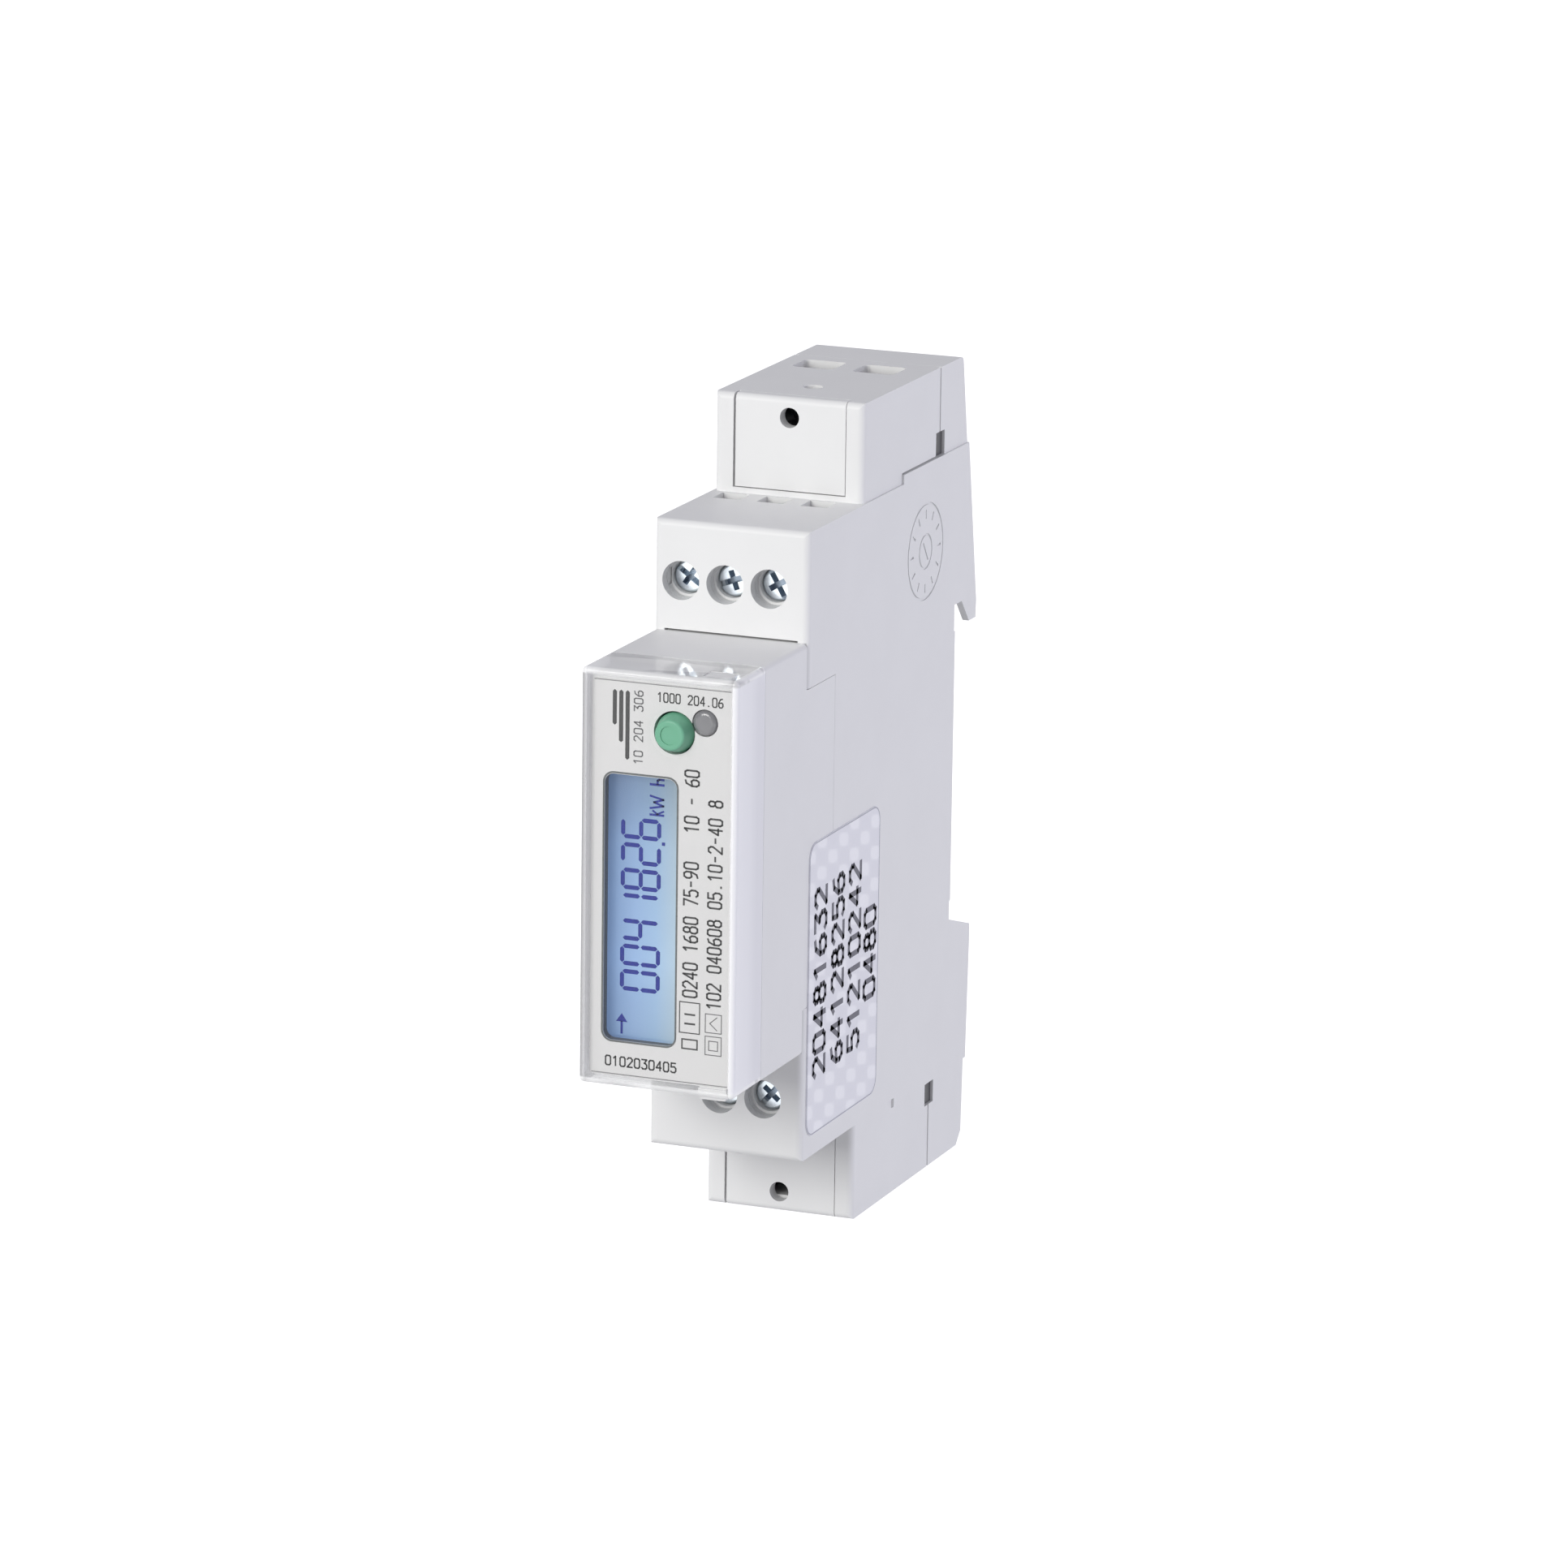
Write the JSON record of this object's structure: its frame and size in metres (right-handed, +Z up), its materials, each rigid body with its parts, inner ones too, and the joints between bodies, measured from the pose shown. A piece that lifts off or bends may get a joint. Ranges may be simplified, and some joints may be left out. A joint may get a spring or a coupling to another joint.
{
  "type": "smart electric meter",
  "caption": "Slim rail-mounted electricity meter with a backlit display behind a clear cover, a push button, stepped screw terminals, sealable lids and a sprung rail clip.",
  "frame": {"origin": "centre of the face that rests against the rail", "axes": "+X to the viewer's right across the thickness, +Y back into the rail, +Z up"},
  "size_m": [0.0176, 0.0704, 0.09],
  "materials": {
    "case_plastic": "fine satin moulding",
    "bezel_plastic": "satin moulding",
    "label_film": "printed film",
    "clear_plastic": "clear moulding",
    "display_glass": "polished",
    "backlight_panel": "lit diffuser",
    "insert_plastic": "moulded",
    "terminal_plastic": "moulded",
    "screw_zinc": "zinc plated",
    "cage_steel": "plated",
    "copper": "bright copper",
    "resistive_alloy": "plain",
    "board_laminate": "solder mask",
    "chip_epoxy": "moulded",
    "film_box": "potted box",
    "can_sleeve": "shrink sleeve",
    "disc_coating": "dipped",
    "resistor_body": "coated",
    "ferrite": "sintered",
    "wire_red": "insulation",
    "button_green": "satin",
    "lamp_smoked": "smoked lens",
    "sticker_film": "tamper film",
    "spring_steel": "drawn",
    "clip_plastic": "moulded"
  },
  "bodies": {
    "housing": {"main_case": "case_plastic", "side_plate": "case_plastic", "front_hood": "case_plastic", "front_bezel": "bezel_plastic", "label_sheet": "label_film", "window_cover": "clear_plastic", "security_sticker": "sticker_film", "neutral_busbar": "copper", "shunt": "resistive_alloy", "sense_leads": "wire_red", "main_pcb": "board_laminate", "display_pcb": "board_laminate", "board_header": "chip_epoxy", "film_capacitor": "film_box", "smoothing_capacitor": "can_sleeve", "varistor": "disc_coating", "inrush_resistor": "resistor_body", "pulse_transformer": "ferrite", "metering_chip": "chip_epoxy", "microcontroller": "chip_epoxy", "optocouplers": "chip_epoxy", "lcd_glass": "display_glass", "backlight": "backlight_panel", "tact_switch": "chip_epoxy", "pulse_led": "lamp_smoked", "terminal_cap_top": "case_plastic", "terminal_insert_top": "insert_plastic", "line_busbar_top": "copper", "signal_terminal_top": "terminal_plastic", "signal_contacts_top": "copper", "terminal_cap_bottom": "case_plastic", "terminal_insert_bottom": "insert_plastic", "line_busbar_bottom": "copper", "signal_terminal_bottom": "terminal_plastic", "signal_contacts_bottom": "copper"},
    "lid_top": {"seal_lid_top": "case_plastic"},
    "power_screw_line_top": {"power_screw_line_top": "screw_zinc"},
    "power_cage_line_top": {"power_cage_line_top": "cage_steel"},
    "power_screw_neutral_top": {"power_screw_neutral_top": "screw_zinc"},
    "power_cage_neutral_top": {"power_cage_neutral_top": "cage_steel"},
    "signal_screw_top_1": {"signal_screw_top_1": "screw_zinc"},
    "signal_cage_top_1": {"signal_cage_top_1": "cage_steel"},
    "signal_screw_top_2": {"signal_screw_top_2": "screw_zinc"},
    "signal_cage_top_2": {"signal_cage_top_2": "cage_steel"},
    "signal_screw_top_3": {"signal_screw_top_3": "screw_zinc"},
    "signal_cage_top_3": {"signal_cage_top_3": "cage_steel"},
    "lid_bottom": {"seal_lid_bottom": "case_plastic"},
    "power_screw_line_bottom": {"power_screw_line_bottom": "screw_zinc"},
    "power_cage_line_bottom": {"power_cage_line_bottom": "cage_steel"},
    "power_screw_neutral_bottom": {"power_screw_neutral_bottom": "screw_zinc"},
    "power_cage_neutral_bottom": {"power_cage_neutral_bottom": "cage_steel"},
    "signal_screw_bottom_1": {"signal_screw_bottom_1": "screw_zinc"},
    "signal_cage_bottom_1": {"signal_cage_bottom_1": "cage_steel"},
    "signal_screw_bottom_2": {"signal_screw_bottom_2": "screw_zinc"},
    "signal_cage_bottom_2": {"signal_cage_bottom_2": "cage_steel"},
    "button": {"button_cap": "button_green", "tact_plunger": "insert_plastic"},
    "rail_clip": {"din_clip": "clip_plastic", "clip_spring": "spring_steel"}
  },
  "joints": [
    {"name": "lid_top_pull", "type": "slide", "parent": "housing", "child": "lid_top", "axis": [0, -1, 0], "range_m": [0, 0.04]},
    {"name": "power_screw_line_top_turn", "type": "hinge", "parent": "housing", "child": "power_screw_line_top", "pos_m": [-0.004, -0.02, 0.0399], "axis": [0, 1, 0], "range_deg": [0, 2160]},
    {"name": "power_cage_line_top_rise", "type": "slide", "parent": "housing", "child": "power_cage_line_top", "axis": [0, -1, 0], "range_m": [0, 0.0042]},
    {"name": "power_screw_neutral_top_turn", "type": "hinge", "parent": "housing", "child": "power_screw_neutral_top", "pos_m": [0.003, -0.02, 0.0399], "axis": [0, 1, 0], "range_deg": [0, 2160]},
    {"name": "power_cage_neutral_top_rise", "type": "slide", "parent": "housing", "child": "power_cage_neutral_top", "axis": [0, -1, 0], "range_m": [0, 0.0042]},
    {"name": "signal_screw_top_1_turn", "type": "hinge", "parent": "housing", "child": "signal_screw_top_1", "pos_m": [-0.00575, -0.036, 0.02775], "axis": [0, 1, 0], "range_deg": [0, 1800]},
    {"name": "signal_cage_top_1_rise", "type": "slide", "parent": "housing", "child": "signal_cage_top_1", "axis": [0, -1, 0], "range_m": [0, 0.0025]},
    {"name": "signal_screw_top_2_turn", "type": "hinge", "parent": "housing", "child": "signal_screw_top_2", "pos_m": [-0.00075, -0.036, 0.02775], "axis": [0, 1, 0], "range_deg": [0, 1800]},
    {"name": "signal_cage_top_2_rise", "type": "slide", "parent": "housing", "child": "signal_cage_top_2", "axis": [0, -1, 0], "range_m": [0, 0.0025]},
    {"name": "signal_screw_top_3_turn", "type": "hinge", "parent": "housing", "child": "signal_screw_top_3", "pos_m": [0.00425, -0.036, 0.02775], "axis": [0, 1, 0], "range_deg": [0, 1800]},
    {"name": "signal_cage_top_3_rise", "type": "slide", "parent": "housing", "child": "signal_cage_top_3", "axis": [0, -1, 0], "range_m": [0, 0.0025]},
    {"name": "lid_bottom_pull", "type": "slide", "parent": "housing", "child": "lid_bottom", "axis": [0, -1, 0], "range_m": [0, 0.04]},
    {"name": "power_screw_line_bottom_turn", "type": "hinge", "parent": "housing", "child": "power_screw_line_bottom", "pos_m": [-0.004, -0.02, -0.0399], "axis": [0, 1, 0], "range_deg": [0, 2160]},
    {"name": "power_cage_line_bottom_rise", "type": "slide", "parent": "housing", "child": "power_cage_line_bottom", "axis": [0, -1, 0], "range_m": [0, 0.0042]},
    {"name": "power_screw_neutral_bottom_turn", "type": "hinge", "parent": "housing", "child": "power_screw_neutral_bottom", "pos_m": [0.003, -0.02, -0.0399], "axis": [0, 1, 0], "range_deg": [0, 2160]},
    {"name": "power_cage_neutral_bottom_rise", "type": "slide", "parent": "housing", "child": "power_cage_neutral_bottom", "axis": [0, -1, 0], "range_m": [0, 0.0042]},
    {"name": "signal_screw_bottom_1_turn", "type": "hinge", "parent": "housing", "child": "signal_screw_bottom_1", "pos_m": [-0.00075, -0.036, -0.02775], "axis": [0, 1, 0], "range_deg": [0, 1800]},
    {"name": "signal_cage_bottom_1_rise", "type": "slide", "parent": "housing", "child": "signal_cage_bottom_1", "axis": [0, -1, 0], "range_m": [0, 0.0025]},
    {"name": "signal_screw_bottom_2_turn", "type": "hinge", "parent": "housing", "child": "signal_screw_bottom_2", "pos_m": [0.00425, -0.036, -0.02775], "axis": [0, 1, 0], "range_deg": [0, 1800]},
    {"name": "signal_cage_bottom_2_rise", "type": "slide", "parent": "housing", "child": "signal_cage_bottom_2", "axis": [0, -1, 0], "range_m": [0, 0.0025]},
    {"name": "button_press", "type": "slide", "parent": "housing", "child": "button", "axis": [0, 1, 0], "range_m": [0, 0.0006], "stiffness_N_per_m": 1500, "springref_m": -0.0005},
    {"name": "rail_clip_pull", "type": "slide", "parent": "housing", "child": "rail_clip", "axis": [0, 0, -1], "range_m": [0, 0.003], "stiffness_N_per_m": 2000, "springref_m": -0.003, "deforming": ["clip_spring"]}
  ],
  "couplings": [
    {"joint": "power_screw_line_top_turn", "follows": "power_cage_line_top_rise", "rad_per_m": 8976},
    {"joint": "power_screw_neutral_top_turn", "follows": "power_cage_neutral_top_rise", "rad_per_m": 8976},
    {"joint": "signal_screw_top_1_turn", "follows": "signal_cage_top_1_rise", "rad_per_m": 12566},
    {"joint": "signal_screw_top_2_turn", "follows": "signal_cage_top_2_rise", "rad_per_m": 12566},
    {"joint": "signal_screw_top_3_turn", "follows": "signal_cage_top_3_rise", "rad_per_m": 12566},
    {"joint": "power_screw_line_bottom_turn", "follows": "power_cage_line_bottom_rise", "rad_per_m": 8976},
    {"joint": "power_screw_neutral_bottom_turn", "follows": "power_cage_neutral_bottom_rise", "rad_per_m": 8976},
    {"joint": "signal_screw_bottom_1_turn", "follows": "signal_cage_bottom_1_rise", "rad_per_m": 12566},
    {"joint": "signal_screw_bottom_2_turn", "follows": "signal_cage_bottom_2_rise", "rad_per_m": 12566}
  ]
}
